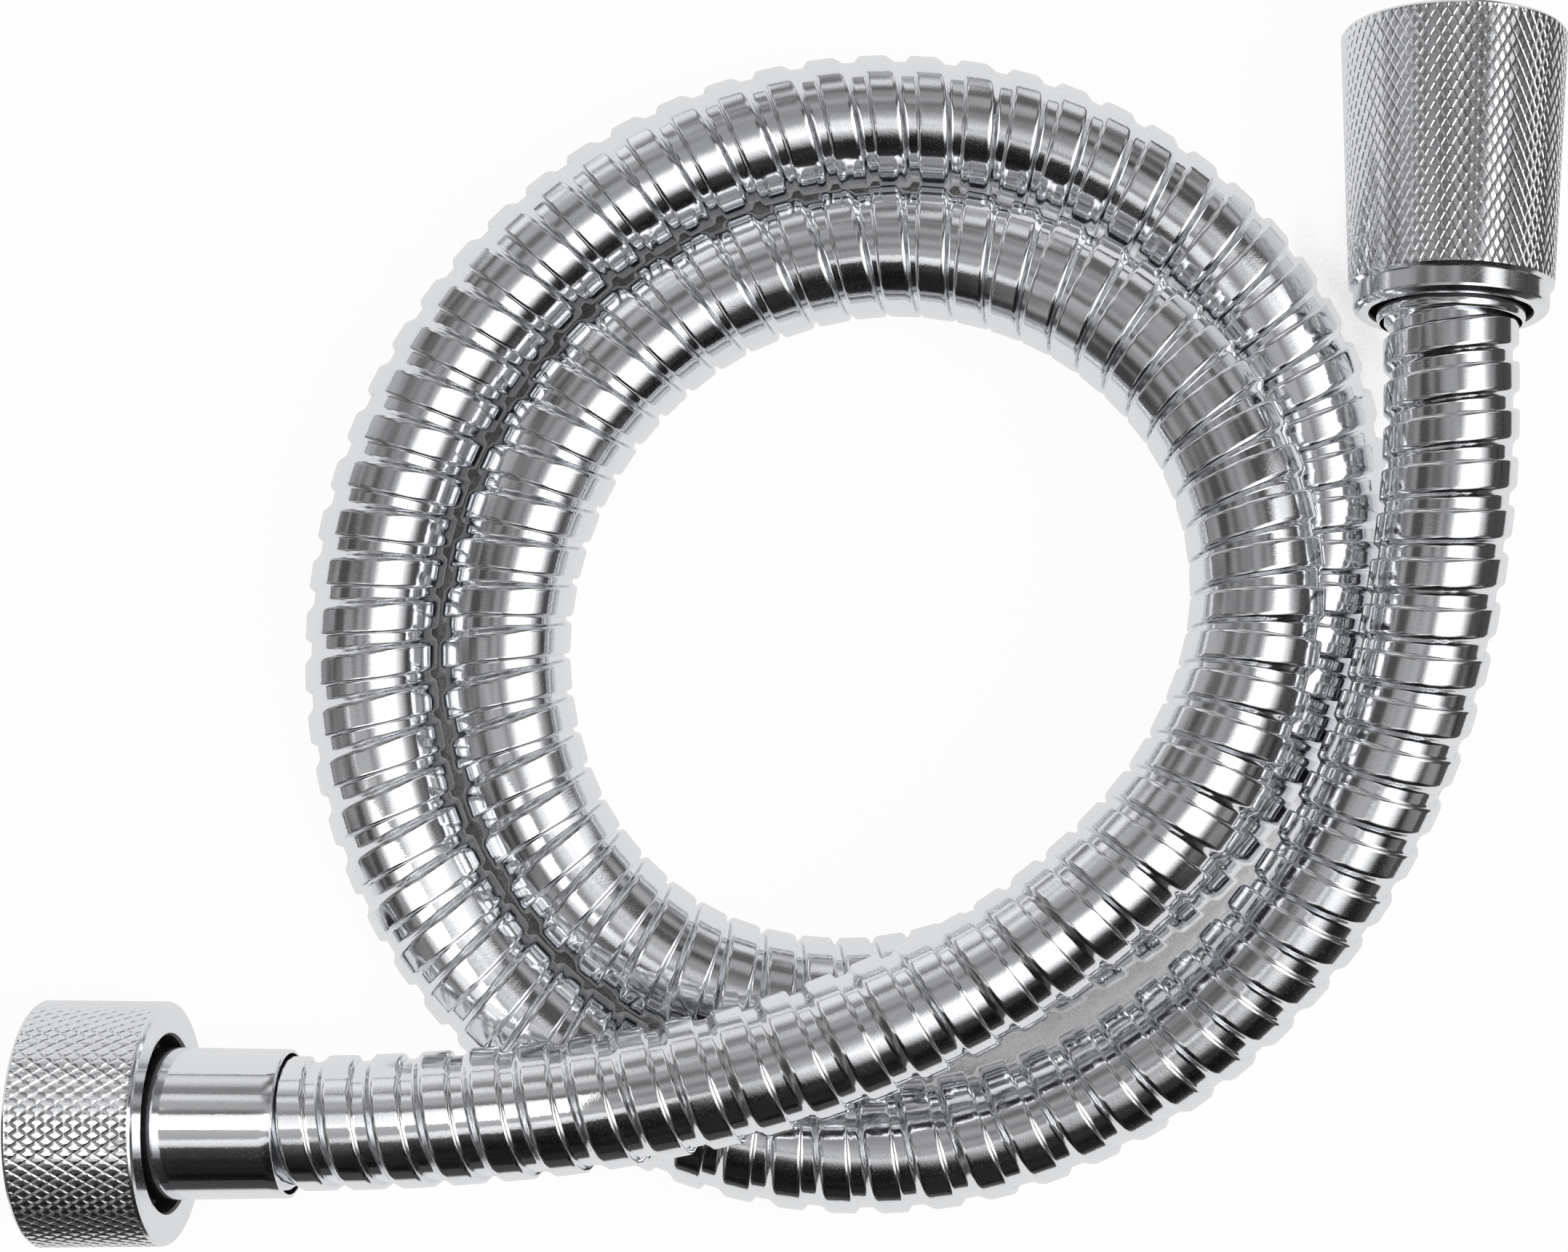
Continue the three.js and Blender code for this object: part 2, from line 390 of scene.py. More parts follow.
tap_nut = turned("tap_nut_knurled", tap_profile + socket_wall, TAP_FRAME, KNURL_STEPS,
                 nut_shape(KNURL_START + HAIR, tap_last - HAIR, TAP_SHELL_R), NUT_CREASE,
                 fold_grooves(KNURL_START, TAP_KNURL_END, TAP_SHELL_R))

# %% Conical nut
CONE_LENGTH = 30.3
CONE_KNURL_END = CONE_LENGTH - 2.9
CONE_R, CONE_TAPER = 11.8, 1.2
CONE_SHELL_R = 10.45
COLLAR_R = 10.1
cone_rows = int((CONE_KNURL_END - KNURL_START) / ROW)
cone_last = KNURL_START + cone_rows * ROW
cone_last_r = CONE_R - CONE_TAPER * cone_last / CONE_KNURL_END
cone_profile = mouth_edge(CONE_R)
cone_profile += steps_between(cone_profile[-1], (cone_last_r, cone_last), cone_rows)
cone_profile += [(COLLAR_R + 0.48, CONE_KNURL_END), (COLLAR_R + 0.1, CONE_KNURL_END + 0.3),
                 (COLLAR_R, CONE_KNURL_END + 0.45), (COLLAR_R, CONE_LENGTH - 0.7),
                 (COLLAR_R - 0.08, CONE_LENGTH - 0.45), (COLLAR_R - 0.25, CONE_LENGTH - 0.25),
                 (COLLAR_R - 0.55, CONE_LENGTH), (BORE_R + 0.35, CONE_LENGTH),
                 (BORE_R + 0.1, CONE_LENGTH - 0.1), (BORE_R, CONE_LENGTH - 0.35),
                 (BORE_R, SHOULDER)]
cone_nut = turned("cone_nut_knurled", cone_profile + socket_wall, CONE_FRAME, KNURL_STEPS,
                  nut_shape(KNURL_START + HAIR, CONE_KNURL_END - HAIR, CONE_SHELL_R), NUT_CREASE,
                  fold_grooves(KNURL_START, CONE_KNURL_END, CONE_SHELL_R))

# %% [markdown]
# ## Sleeves, nipples and washers
#
# A thin polished sleeve is pressed over each end of the hose. Behind the round nut it is in
# full view. At the other end only its rounded edge shows in the nut's rear bore. The brass
# nipples and rubber washers can be seen through the mouths of the nuts.

# %% Sleeves
SLEEVE_START, SLEEVE_FLOOR = 12.5, 13.3
SLEEVE_HOLE_R, SLEEVE_INSIDE_R = 4.5, 7.3
WALL_STEPS, LIP_STEPS = 12, 6


def sleeve_profile(lip, near_r, lip_r, bead):
    """From the floor's hole outwards, along the wall, round the bead and back inside."""
    wall = [(SLEEVE_HOLE_R, SLEEVE_START), (near_r - 0.2, SLEEVE_START),
            (near_r - 0.06, SLEEVE_START + 0.06), (near_r, SLEEVE_START + 0.2)]
    wall += steps_between(wall[-1], (lip_r, lip - bead), WALL_STEPS)
    over = lip_r - SLEEVE_INSIDE_R - 0.02
    for i in range(1, LIP_STEPS + 1):
        a = math.pi / 2 * i / LIP_STEPS
        wall.append((lip_r - over * (1 - math.cos(a)), lip - bead + bead * math.sin(a)))
    return wall + [(SLEEVE_INSIDE_R, lip - 0.2), (SLEEVE_INSIDE_R, SLEEVE_FLOOR + 0.1),
                   (SLEEVE_INSIDE_R - 0.1, SLEEVE_FLOOR), (SLEEVE_HOLE_R, SLEEVE_FLOOR)]


# %% Seam and both sleeves
# The round nut's sleeve is rolled from sheet, so a fine seam runs along it: one row of points
# is raised
SEAM_HEIGHT = 0.03
SEAM_TOWARDS = TAP_FRAME.inverted().to_3x3() @ Vector((-0.13, -0.334, 0.933))
SEAM = math.atan2(SEAM_TOWARDS.y, SEAM_TOWARDS.x)


def seam(r, angle, u):
    """Raises the sleeve's outside along the seam."""
    off = abs((angle - SEAM + math.pi) % (2 * math.pi) - math.pi)
    outside = r > SLEEVE_INSIDE_R + 0.1 and u > SLEEVE_START + 0.1
    return r + (SEAM_HEIGHT if outside and off < math.pi / ROUND_STEPS else 0)


tap_wall = sleeve_profile(lip=26.9, near_r=7.95, lip_r=7.7, bead=0.15)
cone_wall = sleeve_profile(lip=31.3, near_r=7.7, lip_r=7.7, bead=0.9)
tap_sleeve = turned("tap_sleeve_polished", tap_wall, TAP_FRAME, shape=seam)
cone_sleeve = turned("cone_sleeve_beaded", cone_wall, CONE_FRAME)

# %% Nipples and washers
FITTING_STEPS = 96
WATER_R, FLANGE_R, NECK_R = 3.5, 9.1, 7.9
STEM_R, BARB_R = 4.05, 4.2
FLANGE_FRONT, FLANGE_BACK, NECK_END = 6.5, 8.5, 12.2
BARB_ENDS = (17.7, 21.1, 24.5)
BARB_SLOPE = 1.2
WASHER_HOLE_R, WASHER_R = 5.2, 9.05
WASHER_FRONT, WASHER_BACK = 4.2, 6.2
WASHER_EDGE = 0.15


def nipple_profile():
    """A flange that presses on the washer, a neck, and a stem whose barbs hold the liner."""
    profile = [(WATER_R, FLANGE_FRONT + 0.2), (WATER_R + 0.2, FLANGE_FRONT),
               (FLANGE_R - 0.2, FLANGE_FRONT), (FLANGE_R, FLANGE_FRONT + 0.2),
               (FLANGE_R, FLANGE_BACK - 0.2), (FLANGE_R - 0.2, FLANGE_BACK),
               (NECK_R + 0.1, FLANGE_BACK), (NECK_R, FLANGE_BACK + 0.1), (NECK_R, NECK_END - 0.2),
               (NECK_R - 0.2, NECK_END), (BARB_R, NECK_END), (STEM_R, NECK_END + 0.1)]
    for top in BARB_ENDS:
        profile += [(STEM_R, top - 0.25), (BARB_R, top - 0.1), (BARB_R, top),
                    (STEM_R, top + BARB_SLOPE)]
    stem_end = BARB_ENDS[-1] + BARB_SLOPE
    return profile + [(WATER_R + 0.4, stem_end), (WATER_R, stem_end)]


def washer_profile():
    """A flat ring with broken edges."""
    inner, outer = WASHER_HOLE_R + WASHER_EDGE, WASHER_R - WASHER_EDGE
    front, back = WASHER_FRONT + WASHER_EDGE, WASHER_BACK - WASHER_EDGE
    return [(WASHER_HOLE_R, front), (inner, WASHER_FRONT), (outer, WASHER_FRONT),
            (WASHER_R, front), (WASHER_R, back), (outer, WASHER_BACK), (inner, WASHER_BACK),
            (WASHER_HOLE_R, back)]


fittings = {}
for end, place in (("tap", TAP_FRAME), ("cone", CONE_FRAME)):
    for kind, profile in (("nipple_turned", nipple_profile()), ("washer_ring", washer_profile())):
        part = end + "_" + kind.split("_")[0]
        fittings[part] = turned(end + "_" + kind, profile, place, FITTING_STEPS)

# %% [markdown]
# ## The wound casing
#
# The casing is one long metal strip, folded into a hooked profile and wound so that each
# turn locks into the one before. Outside, each turn shows a broad raised band that ends in
# a sharp lip, and a low band that slides under it when the hose bends. So on the outside of
# a bend the low bands open, and on the inside the raised bands almost touch.
#
# A spin that also moves along its axis is a screw. It winds the profile of one turn into a
# straight hose. Afterwards each point is laid onto the route: the raised bands keep their
# width, and the low bands take up what the bend gives or takes.

# %% Turns counted along the hose
# Distance from the start in millimetres, and the number of turns up to there
COUNTED = ((0, 1.09), (30, 6.90), (60, 12.60), (80, 16.32), (100, 20.18), (120, 24.33),
           (140, 28.68), (160, 33.31), (180, 37.96), (200, 42.49), (230, 48.94), (260, 55.27),
           (290, 61.62), (320, 67.94), (350, 74.31), (380, 80.81), (400, 85.34), (430, 91.89),
           (460, 98.32), (480, 102.41), (500, 106.48), (530, 112.57), (560, 118.64),
           (590, 124.69), (620, 130.88), (650, 136.89), (680, 142.63), (710, 148.48),
           (740, 154.46), (782, 163.26))
TURNS = math.ceil(COUNTED[-1][1]) + 1


def turn_to_mm(turn):
    """Distance from the start at which a turn lies."""
    for (s0, n0), (s1, n1) in zip(COUNTED, COUNTED[1:]):
        if turn <= n1:
            break
    return s0 + (s1 - s0) * (turn - n0) / (n1 - n0)


print(TURNS, "turns")

# %% Profile of one turn
# Share of a turn and radius. Up to BAND it is the raised band: a rounded shoulder, a flat, and
# a hooked lip. After it come the low band and the ramp up to the next turn. Close pairs of
# points beside a flat keep its shading flat.
BAND = 0.64
BAND_WIDTH = 3.2
STRIP = [(0.0, 6.84), (0.02, 6.92), (0.05, 6.975), (0.085, 6.998), (0.10, 7.0), (0.115, 7.0),
         (0.535, 7.0), (0.55, 7.0), (0.58, 6.985), (0.603, 6.93), (0.622, 6.84), (0.63, 6.72),
         (0.626, 6.6), (0.61, 6.42), (0.63, 6.34), (0.66, 6.33), (0.675, 6.33), (0.845, 6.33),
         (0.86, 6.33), (0.885, 6.35), (0.91, 6.42), (0.96, 6.64), (1.0, 6.84)]
AROUND = 24
STRIP_MERGE = 2e-4
STRIP_CREASE = 50
# The faces under the lip lie in its shadow and get a dark colour as painted shade.
# They are found by share and radius.
UNDER_LIP = (0.605, 0.665)
UNDER_LIP_R = 6.75

# %% Wind the strip
bm = bmesh.new()
strip_verts = [bm.verts.new((w, r, 0)) for w, r in STRIP]
strip_edges = [bm.edges.new(pair) for pair in zip(strip_verts, strip_verts[1:])]
bmesh.ops.spin(bm, geom=strip_verts + strip_edges, cent=(0, 0, 0), axis=(1, 0, 0),
               dvec=(1 / AROUND, 0, 0), angle=2 * math.pi, steps=AROUND)
bmesh.ops.spin(bm, geom=bm.verts[:] + bm.edges[:] + bm.faces[:], cent=(0, 0, 0), axis=(1, 0, 0),
               dvec=(1, 0, 0), angle=0, steps=TURNS - 1, use_duplicate=True)
bmesh.ops.remove_doubles(bm, verts=bm.verts, dist=STRIP_MERGE)
for face in bm.faces:
    middle = face.calc_center_median()
    share = (middle.x - math.atan2(middle.z, middle.y) / (2 * math.pi)) % 1.0
    if UNDER_LIP[0] < share < UNDER_LIP[1] and math.hypot(middle.y, middle.z) < UNDER_LIP_R:
        # Slot 1 paints the shade under the lip dark
        face.material_index = 1
print("wound strip", len(bm.faces), "faces")

# %% Lay it on the route
# A share this close to 1 is the next turn's first point, apart from rounding
TURN_OVER = 0.99995


def lay(v):
    """Moves a point of the straight winding to its place round the route."""
    x, r = v.co.x, math.hypot(v.co.y, v.co.z)
    angle = math.atan2(v.co.z, v.co.y) / (2 * math.pi)
    share = (x - angle) % 1.0
    if share > TURN_OVER:
        share = 0.0
    band_middle = x - share + BAND / 2
    middle = turn_to_mm(band_middle)
    pitch = turn_to_mm(band_middle + 0.5) - turn_to_mm(band_middle - 0.5)
    around = 2 * math.pi * angle
    i = hose.place(middle)[0]
    side, ahead = hose.side[i], hose.ahead[i]
    out = side * math.cos(around) + ahead.cross(side) * math.sin(around)
    stretch = 1 - r * out.dot(hose.bend[i])
    half = BAND_WIDTH / 2 / stretch
    if share <= BAND:
        s = middle + (share / BAND - 0.5) * 2 * half
    else:
        s = middle + half + (share - BAND) / (1 - BAND) * (pitch - 2 * half)
    s = min(max(s, 0.0), hose.length)
    point, ahead, side = (hose.read(values, s) for values in (hose.points, hose.ahead, hose.side))
    side = (side - ahead * side.dot(ahead)).normalized()
    up = ahead.normalized().cross(side)
    v.co = point + (side * math.cos(around) + up * math.sin(around)) * r


for v in bm.verts:
    lay(v)
bmesh.ops.dissolve_degenerate(bm, dist=1e-5, edges=bm.edges)
casing = finish_mesh(bm, "wound_casing", TO_METRES, STRIP_CREASE)
print("casing", len(casing.data.polygons), "faces")

# %% [markdown]
# ## Shader maths
#
# Finishes are written as sums instead of long lists of nodes. A small class wraps a socket
# and adds a Math node for each operator.

# %% Sockets that can be added and multiplied
class Socket:
    """An output of a node that counts like a number."""
    def __init__(self, tree, socket):
        self.tree, self.socket = tree, socket

    def math(self, operation, other=None, swap=False):
        node = self.tree.nodes.new("ShaderNodeMath")
        node.operation = operation
        values = [self, other] if other is not None else [self]
        for slot, value in zip(node.inputs, reversed(values) if swap else values):
            if isinstance(value, Socket):
                self.tree.links.new(value.socket, slot)
            else:
                slot.default_value = value
        return Socket(self.tree, node.outputs[0])

    def __add__(self, other): return self.math("ADD", other)
    def __radd__(self, other): return self.math("ADD", other)
    def __sub__(self, other): return self.math("SUBTRACT", other)
    def __rsub__(self, other): return self.math("SUBTRACT", other, True)
    def __mul__(self, other): return self.math("MULTIPLY", other)
    def __rmul__(self, other): return self.math("MULTIPLY", other)
    def __abs__(self): return self.math("ABSOLUTE")


class Shader:
    """A node tree with one method that adds any node, and short names for frequent ones."""
    def __init__(self, tree):
        self.tree = tree
        tree.nodes.clear()

    def node(self, kind, settings=None, output=0, in_order=(), **inputs):
        """Inputs are given by name, or in order where several have the same name."""
        node = self.tree.nodes.new(kind)
        for key, value in (settings or {}).items():
            setattr(node, key, value)
        slots = list(zip(node.inputs, in_order))
        for key, value in inputs.items():
            name = key.replace("_", " ").lower()
            slot = next(s for s in node.inputs if s.enabled and s.name.lower() == name)
            slots.append((slot, value))
        for slot, value in slots:
            if isinstance(value, Socket):
                self.tree.links.new(value.socket, slot)
            else:
                slot.default_value = value
        return Socket(self.tree, node.outputs[output]) if len(node.outputs) else None

    def step(self, value, low, high, to_low=0.0, to_high=1.0):
        """A soft step from to_low to to_high while value goes from low to high."""
        return self.node("ShaderNodeMapRange", {"interpolation_type": "SMOOTHSTEP"}, Value=value,
                         From_Min=low, From_Max=high, To_Min=to_low, To_Max=to_high)

    def noise(self, place, scale, detail, roughness=0.5):
        """Cloudy noise of the given number of clouds to a metre."""
        return self.node("ShaderNodeTexNoise", Vector=place, Scale=scale, Detail=detail,
                         Roughness=roughness)

    def colour(self, share, first, second):
        """A mix of two colours. The node's third result is the colour one."""
        return self.node("ShaderNodeMix", {"data_type": "RGBA"}, output=2, Factor=share,
                         A=(*first, 1), B=(*second, 1))

    def both(self, share, first, second):
        """A mix of two shaders."""
        return self.node("ShaderNodeMixShader", in_order=(share, first, second))

    def grey(self, level):
        """A colour from one number."""
        return self.node("ShaderNodeCombineColor", Red=level, Green=level, Blue=level)

    def metal(self, colour, roughness, bump):
        """Bare metal or plating."""
        return self.node("ShaderNodeBsdfPrincipled", Base_Color=colour, Metallic=1.0,
                         Roughness=roughness, Normal=bump)

    def bump(self, height, strength, distance):
        """Makes the surface look uneven without moving it."""
        return self.node("ShaderNodeBump", Height=height, Strength=strength, Distance=distance)

    def finish(self, surface):
        """Hands the shader to the material."""
        self.node("ShaderNodeOutputMaterial", Surface=surface)


def new_material(name):
    """A material, its shader, and the place on the piece that its patterns follow."""
    material = bpy.data.materials.new(name)
    material.use_nodes = True
    shader = Shader(material.node_tree)
    return material, shader, shader.node("ShaderNodeTexCoord", output="Object")


# %% [markdown]
# ## Finishes
#
# Chrome plate is a mirror with a little haze. What makes it look real is its small faults:
# fine rub marks that scatter the softbox round the edge of its reflection, and patches that
# were wiped or handled. So a clear mirror is mixed with a rubbed one, fine noise decides how
# much of each shows, and a very weak bump breaks up the edges of the reflections.

# %% Chrome
HAIRLINE = 0.03 * MM


def chrome(name, colour, polish, haze, bump):
    """Polish is the mirror's roughness, haze the share of the rubbed finish."""
    material, s, place = new_material(name)
    grain = s.noise(place, scale=5200.0, detail=2.0, roughness=0.7)
    fine = s.noise(place, scale=1500.0, detail=3.0, roughness=0.65)
    broad = s.noise(place, scale=170.0, detail=4.0, roughness=0.6)
    specks = s.step(grain, 0.52, 0.68)
    wiped = s.step(broad, 0.42, 0.72)
    dents = s.bump(grain * 0.5 + fine * 0.5, strength=bump, distance=HAIRLINE)
    mirror = s.metal((*colour, 1), polish + wiped * 0.03, dents)
    rubbed = s.metal((*colour, 1), 0.30 + specks * 0.12, dents)
    s.finish(s.both(haze * (0.45 + specks * 1.1 + wiped * 0.5), mirror, rubbed))
    return material


casing_chrome = chrome("casing_chrome", (0.90, 0.91, 0.93), polish=0.06, haze=0.14, bump=0.30)
nut_chrome = chrome("nut_chrome", (0.88, 0.89, 0.91), polish=0.08, haze=0.28, bump=0.22)
sleeve_chrome = chrome("sleeve_chrome", (0.90, 0.91, 0.93), polish=0.045, haze=0.14, bump=0.18)

# %% Brass, rubber, the liner and the dark metal of painted shade
def brass():
    material, s, place = new_material("nipple_brass")
    stain = s.noise(place, scale=300.0, detail=4.0)
    tool = s.noise(place, scale=3000.0, detail=2.0)
    colour = s.colour(s.step(stain, 0.35, 0.7), (0.72, 0.56, 0.30), (0.58, 0.42, 0.20))
    s.finish(s.metal(colour, 0.22 + stain * 0.2, s.bump(tool, strength=0.15, distance=HAIRLINE)))
    return material


def rubber():
    material, s, place = new_material("washer_rubber")
    grain = s.noise(place, scale=2200.0, detail=3.0)
    dust = s.noise(place, scale=350.0, detail=4.0)
    colour = s.colour(s.step(dust, 0.5, 0.8), (0.018, 0.018, 0.020), (0.05, 0.05, 0.052))
    s.finish(s.node("ShaderNodeBsdfPrincipled", Base_Color=colour, Roughness=0.5 + dust * 0.3,
                    Normal=s.bump(grain, strength=0.3, distance=0.05 * MM)))
    return material


def liner():
    material, s, place = new_material("liner_plastic")
    cloud = s.noise(place, scale=250.0, detail=3.0)
    colour = s.colour(cloud, (0.80, 0.83, 0.83), (0.70, 0.74, 0.75))
    s.finish(s.node("ShaderNodeBsdfPrincipled", Base_Color=colour, Roughness=0.35 + cloud * 0.2,
                    Normal=s.bump(cloud, strength=0.1, distance=0.1 * MM)))
    return material


# A dark metal that paints the shade in recesses, in gaps and under the casing's lips
def dark_metal_painted_shade():
    material, s, place = new_material("dark_metal_painted_shade")
    stain = s.noise(place, scale=700.0, detail=4.0)
    colour = s.colour(stain, (0.10, 0.10, 0.105), (0.20, 0.20, 0.205))
    s.finish(s.metal(colour, 0.35 + stain * 0.2, s.bump(stain, strength=0.1, distance=HAIRLINE)))
    return material


brass_finish, rubber_finish, liner_finish, painted_shade_finish = brass(), rubber(), liner(), dark_metal_painted_shade()
print("materials, with those of the packed model:", len(bpy.data.materials))


def dress(piece, material):
    """Gives the piece one finish."""
    piece.data.materials.clear()
    piece.data.materials.append(material)


def paint_shade_inside(piece, place, radii, depths):
    """Gives the dark metal of painted shade to the faces inside a range of radius and a range of
    depth.
    """
    piece.data.materials.append(painted_shade_finish)
    back = place.inverted()
    for face in piece.data.polygons:
        at = back @ face.center
        r = math.hypot(at.x, at.y)
        if radii[0] < r < radii[1] and depths[0] < at.z < depths[1]:
            face.material_index = 1


# %% [markdown]
# ## Put every piece on its body
#
# Both nuts turn by themselves. Everything else stays with the hose.

# %% Bodies, stand-ins and finishes
for piece, node, body, material, slot in (
    (tap_nut, "tap_nut", "tap_nut", nut_chrome, "nut_chrome"),
    (cone_nut, "cone_nut", "cone_nut", nut_chrome, "nut_chrome"),
    (tap_sleeve, "tap_sleeve", "hose", sleeve_chrome, "sleeve_chrome"),
    (cone_sleeve, "cone_sleeve", "hose", sleeve_chrome, "sleeve_chrome"),
    (fittings["tap_nipple"], "tap_nipple", "hose", brass_finish, "nipple_brass"),
    (fittings["cone_nipple"], "cone_nipple", "hose", brass_finish, "nipple_brass"),
    (fittings["tap_washer"], "tap_washer", "hose", rubber_finish, "washer_rubber"),
    (fittings["cone_washer"], "cone_washer", "hose", rubber_finish, "washer_rubber"),
    (casing, "hose_casing", "hose", casing_chrome, "casing_chrome"),
):
    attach(piece, body)
    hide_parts(node)
    dress(piece, material)
# The casing's second slot holds the painted shade under each lip
casing.data.materials.append(painted_shade_finish)
dress(nodes["inner_tube"], liner_finish)

# %% Painted shade in the nuts' rear bores and on the nipples' necks
# Plating hardly reaches the inside of the bores, so they are dull, and their dark colour is also
# painted shade.
# The nipple's neck, which shows in the gap behind the round nut, is painted dark as the shade in
# that gap.
paint_shade_inside(tap_nut, TAP_FRAME, (0, RECESS_R + 0.15), (SHOULDER - 0.1, TAP_LENGTH - 0.05))
paint_shade_inside(cone_nut, CONE_FRAME, (0, BORE_R + 0.2), (SHOULDER - 0.1, CONE_LENGTH - 0.2))
for end, place in (("tap", TAP_FRAME), ("cone", CONE_FRAME)):
    paint_shade_inside(fittings[end + "_nipple"], place, (BARB_R + 0.1, FLANGE_R - 0.1),
                (FLANGE_BACK + 0.05, NECK_END + 0.2))

# %% The hose's facts
PATH_STEP = 8
path = [tuple(p * MM) for p in hose.points[::PATH_STEP]] + [tuple(hose.points[-1] * MM)]

# %% [markdown]
# ## Studio
#
# Chrome shows its surroundings, so the studio matters more than the metal. The far side is
# bright, the near side is dark, and the rest is grey. The big softbox stands cornerwise above,
# to the right. Its reflection is part of the surroundings, where its edges can be soft, and a
# lamp in its place, which no mirror shows, lights what is matt. Two small cards with narrow
# beams hang low over the round nut. A room is never even, so a very soft noise varies it. The
# surface and the surroundings are white to the camera.

# %% Lamps
def lamp(name, location, size, radiance, in_mirrors, spread=180):
    """A rectangular lamp, facing down at first. Spread is its beam's angle in degrees."""
    data = bpy.data.lights.new(name, "AREA")
    data.shape = "RECTANGLE"
    data.size, data.size_y = size
    data.spread = math.radians(spread)
    data.energy = radiance * math.pi * size[0] * size[1]
    new = bpy.data.objects.new(name, data)
    new.location = location
    new.visible_camera = False
    new.visible_glossy = in_mirrors
    scene.collection.objects.link(new)
    return new


CARD_RADIANCE = 0.45
softbox = lamp("Softbox", (0.277, -0.083, 0.593), (0.50, 0.50), radiance=2.2, in_mirrors=False)
softbox.rotation_euler = softbox.location.to_track_quat("Z", "Y").to_euler()
lamp("Card", (-0.072, -0.040, 0.078), (0.070, 0.026), CARD_RADIANCE, in_mirrors=True, spread=80)
lamp("End card", (-0.107, -0.045, 0.078), (0.026, 0.066), CARD_RADIANCE, in_mirrors=True, spread=90)
print("softbox and two cards")

# %% Surroundings
# The direction in which a mirror looks: x to the right, y from the near side to the far, z up
world = bpy.data.worlds.new("Studio")
scene.world = world
world.use_nodes = True
sky = Shader(world.node_tree)
looking = sky.node("ShaderNodeTexCoord", output="Generated")
x, y, z = (sky.node("ShaderNodeSeparateXYZ", output=axis, Vector=looking) for axis in "XYZ")


def mix(a, b, share):
    """Goes from a to b as the share goes from 0 to 1."""
    return a + (b - a) * share


def fade(stops, value):
    """Follows a list of values over a range, with soft steps between them."""
    result = stops[0][1]
    for (start, before), (end, level) in zip(stops, stops[1:]):
        result = result + (level - before) * sky.step(value, start, end)
    return result


# %% Grey of the room
# From the near side to the far side, then patches of another grey
NEAR_TO_FAR = ((-0.80, 0.013), (-0.58, 0.02), (-0.42, 0.04), (-0.28, 0.25), (-0.05, 0.29),
               (0.20, 0.25), (0.42, 0.21), (0.62, 0.27), (0.80, 0.31), (0.92, 0.50), (1.0, 0.62))
grey = fade(NEAR_TO_FAR, y)
left = sky.step(x, -0.15, -0.42)
sideways = sky.step(abs(y), 0.66, 0.45)
left_near = sky.step(y, 0.05, -0.15) * sky.step(y, -0.60, -0.45)
grey = mix(grey, 0.28, left * sky.step(y, 0.30, 0.42))
grey = mix(grey, 0.60, left * sky.step(y, 0.60, 0.72))
grey = mix(grey, 0.22, sky.step(x, -0.36, -0.60) * sky.step(y, -0.40, -0.52))
grey = mix(grey, 0.19, sky.step(x, -0.50, -0.64) * left_near)
grey = mix(grey, 0.19, sky.step(x, 0.68, 0.80) * sideways)
grey = mix(grey, 0.04, sky.step(x, 0.87, 0.96) * sideways)
grey = mix(grey, 0.32, sky.step(x, -0.86, -0.95) * sideways)
room = sky.noise(looking, scale=3.3, detail=0.6)
grey = grey * sky.step(room, 0.32, 0.68, 0.24, 1.48)

# %% Thin dark lines
# One is the far wall's edge, the other its foot on the horizon
LINE_Y = 0.78
wall_edge = sky.step(abs(y - LINE_Y), 0.0, 0.02, 1.0, 0.0)
wall_foot = sky.step(z, 0.0, 0.03, 1.0, 0.0) * sky.step(y, 0.6, 0.9)
grey = grey * (1 - (wall_edge + wall_foot) * 0.5)


# %% The softbox as mirrors show it
def spot(at_x, at_y, wide, high, lean, soft, level):
    """A bright spot of the given half sizes that leans and whose edge fades over the share soft."""
    along = (y - at_y) * (1 / high)
    across = (x - at_x - along * (lean * high)) * (1 / wide)
    inside = sky.step(across * across + along * along, 1 + soft, 1 - soft, 0.0, level)
    return inside * sky.step(z, 0.0, 0.2)


grey = grey + spot(0.43, -0.13, wide=0.36, high=0.39, lean=0.3, soft=0.95, level=1.5)
grey = grey + spot(0.64, 0.36, wide=0.20, high=0.13, lean=1.0, soft=0.8, level=0.9)
grey = grey + spot(-0.28, -0.33, wide=0.17, high=0.12, lean=1.0, soft=0.7, level=0.75)
seen = sky.node("ShaderNodeLightPath", output="Is Camera Ray")
background = sky.node("ShaderNodeBackground", Color=sky.grey(mix(grey, 1.0, seen)))
sky.node("ShaderNodeOutputWorld", Surface=background)
print("surroundings", len(world.node_tree.nodes), "nodes")
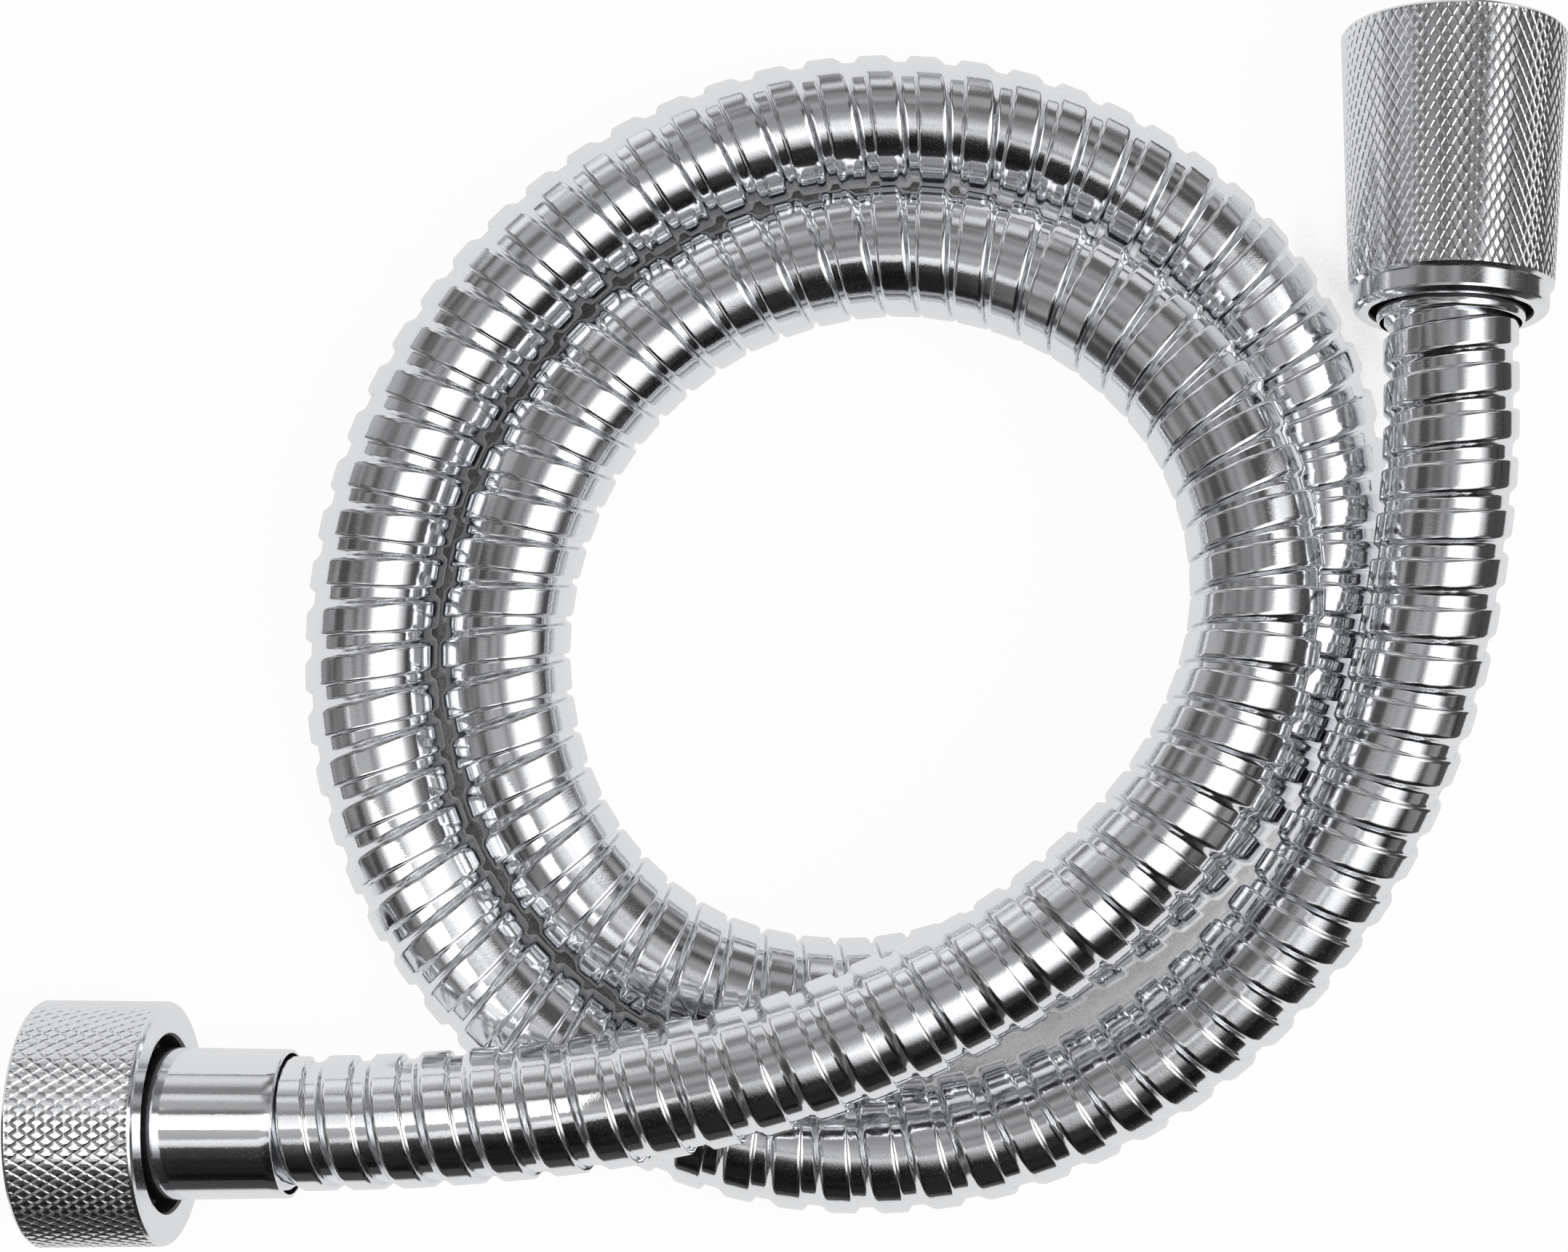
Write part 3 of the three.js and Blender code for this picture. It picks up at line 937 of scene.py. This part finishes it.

# %% [markdown]
# ## The surface it lies on
#
# The sheet under the hose is white to the camera, apart from the narrow gaps between strands,
# which are painted dark as the shade that falls there. Mirrors see it as pale paper that ends
# beyond the hose, because a chromed hose shows the dark room past the sheet's edge, and they
# see the same painted shade in the gaps. An Ambient Occlusion node finds the gaps: it tells
# how open to the sky each place is.

# %% Pale surface
SURFACE_HALF = 1.6
SURFACE_DROP = 0.2 * MM
GAP_REACH = 14 * MM
# Where the sheet is gone and where it is whole, on the right and on the near side, which slants
SHEET_RIGHT = (0.130, 0.116)
SHEET_NEAR = (-0.132, -0.112)
SHEET_SLANT = 0.25
bm = bmesh.new()
bmesh.ops.create_grid(bm, x_segments=1, y_segments=1, size=SURFACE_HALF)
bmesh.ops.translate(bm, verts=bm.verts, vec=(0, 0, -SURFACE_DROP))
floor_mesh = bpy.data.meshes.new("Surface")
bm.to_mesh(floor_mesh)
bm.free()
surface = bpy.data.objects.new("Surface", floor_mesh)
scene.collection.objects.link(surface)
floor_material, s, place = new_material("pale_surface")
to_camera = s.node("ShaderNodeLightPath", output="Is Camera Ray")
to_mirror = s.node("ShaderNodeLightPath", output="Is Glossy Ray")
sx, sy = (s.node("ShaderNodeSeparateXYZ", output=axis, Vector=place) for axis in "XY")
sheet = s.step(sx, *SHEET_RIGHT) * s.step(sy + SHEET_SLANT * sx, *SHEET_NEAR)
open_sky = s.node("ShaderNodeAmbientOcclusion", {"samples": 8}, output="AO", Distance=GAP_REACH)
# Where the gaps close, the surface is painted dark as shade, for the camera and for mirrors
seen_gap_shade = s.step(open_sky, 0.17, 0.27, 0.03, 1.0)
mirrored_gap_shade = s.step(open_sky, 0.02, 0.25, 0.12, 1.0)
grain = s.noise(place, scale=900.0, detail=3.0)
paper = (0.03 + sheet * 0.76) * (0.97 + grain * 0.06)
glow = to_camera * seen_gap_shade + (1 - to_camera) * paper * mirrored_gap_shade
matt = s.node("ShaderNodeBsdfDiffuse", Color=(0.86, 0.86, 0.86, 1))
shine = s.node("ShaderNodeEmission", Color=s.grey(glow))
s.finish(s.both(to_camera * 0.96 + to_mirror * 0.95, matt, shine))
floor_mesh.materials.append(floor_material)
